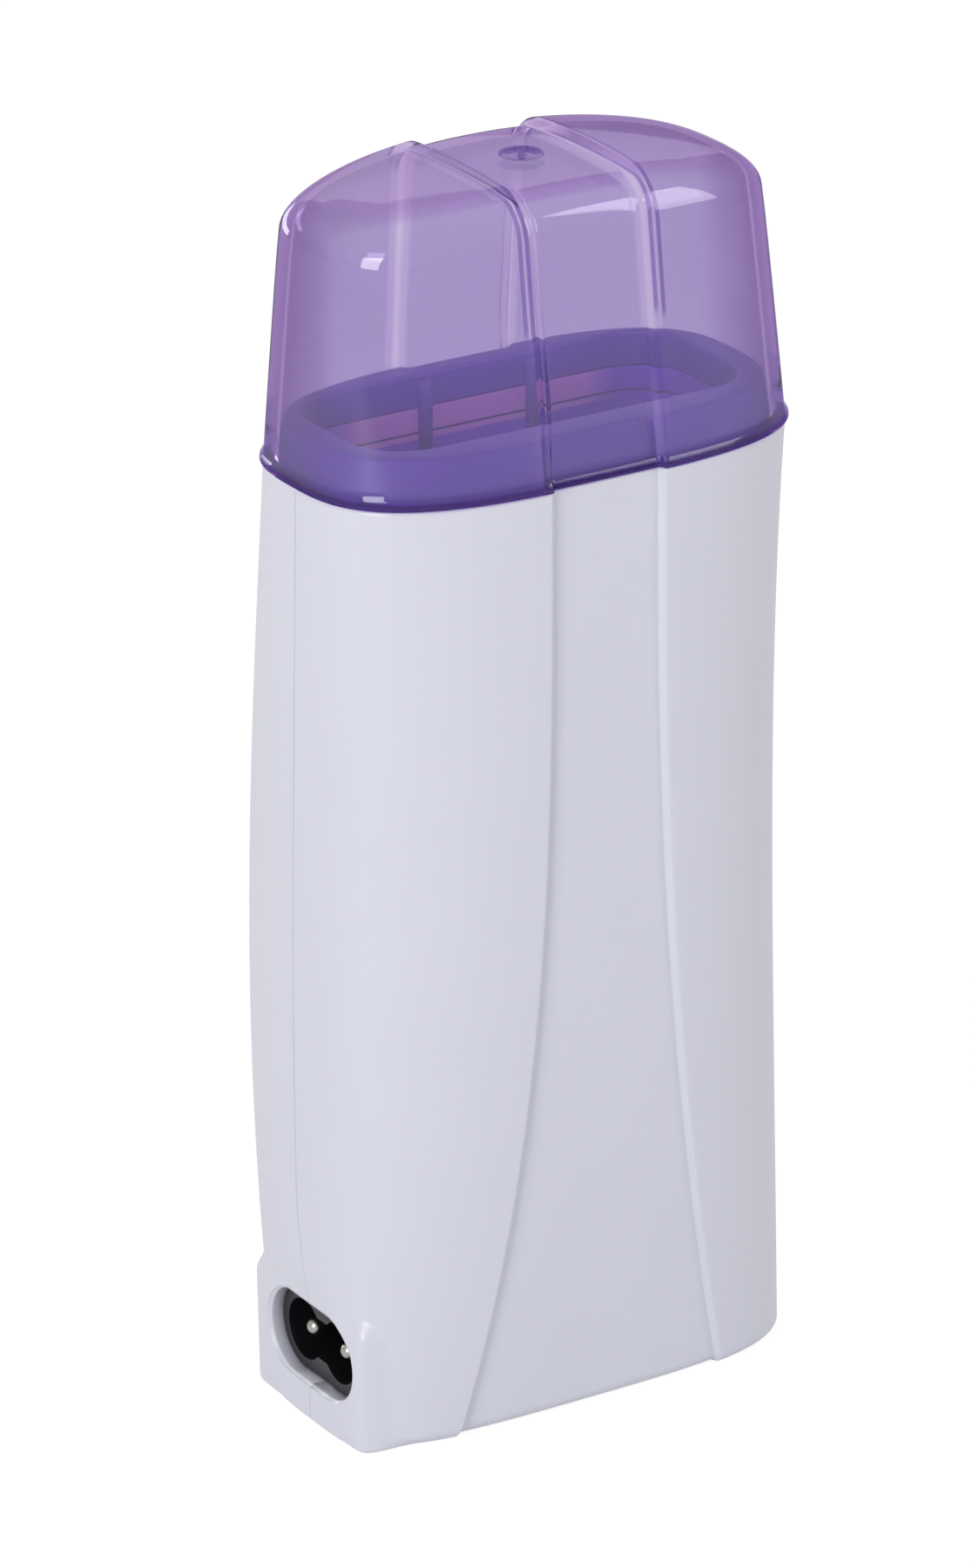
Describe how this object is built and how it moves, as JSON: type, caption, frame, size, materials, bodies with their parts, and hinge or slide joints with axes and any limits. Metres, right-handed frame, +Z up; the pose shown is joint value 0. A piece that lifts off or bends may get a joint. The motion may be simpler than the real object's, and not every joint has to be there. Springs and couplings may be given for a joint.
{
  "type": "roll-on wax heater",
  "caption": "Hand-held heater that warms a roll-on wax cartridge in a metal pocket, with a clear lift-off dust cap and a two-pole mains inlet.",
  "frame": {"origin": "centre of the object's box on the surface it stands on", "axes": "+Z up along the housing, front towards -Y, mains inlet on the -X end"},
  "size_m": [0.0681, 0.0485, 0.1665],
  "materials": {
    "housing": "glossy moulded ABS",
    "collar": "moulded, dyed",
    "cap": "clear dyed polystyrene, glossy",
    "inlet": "moulded thermoset",
    "pins": "nickel-plated",
    "sleeve": "rolled sheet",
    "tray": "heat-proof moulded",
    "screws": "zinc-plated",
    "heater_ceramic": "sintered",
    "contacts": "stamped sheet",
    "film": "polyimide film",
    "springs": "spring strip",
    "fuse": "ceramic case",
    "lead_brown": "silicone insulation",
    "lead_blue": "silicone insulation",
    "lead_red": "silicone insulation",
    "lead_white": "silicone insulation"
  },
  "bodies": {
    "housing": {"front_shell": "housing", "rear_shell": "housing", "top_collar": "collar", "inlet_body": "inlet", "inlet_pins": "pins", "chamber": "sleeve", "chamber_floor": "tray", "floor_screws": "screws", "case_screws": "screws", "front_spreader": "sleeve", "rear_spreader": "sleeve", "front_ptc": "heater_ceramic", "rear_ptc": "heater_ceramic", "front_contacts": "contacts", "rear_contacts": "contacts", "front_insulation": "film", "rear_insulation": "film", "front_clamp": "springs", "rear_clamp": "springs", "thermal_fuse": "fuse", "fuse_clip": "springs", "live_lead": "lead_brown", "neutral_lead": "lead_blue", "fuse_lead": "lead_red", "bridge_lead": "lead_white", "crimp_splices": "pins"},
    "cap": {"cap": "cap"}
  },
  "joints": [
    {"name": "cap_lift", "type": "slide", "parent": "housing", "child": "cap", "axis": [0, 0, 1], "range_m": [0, 0.07]}
  ]
}
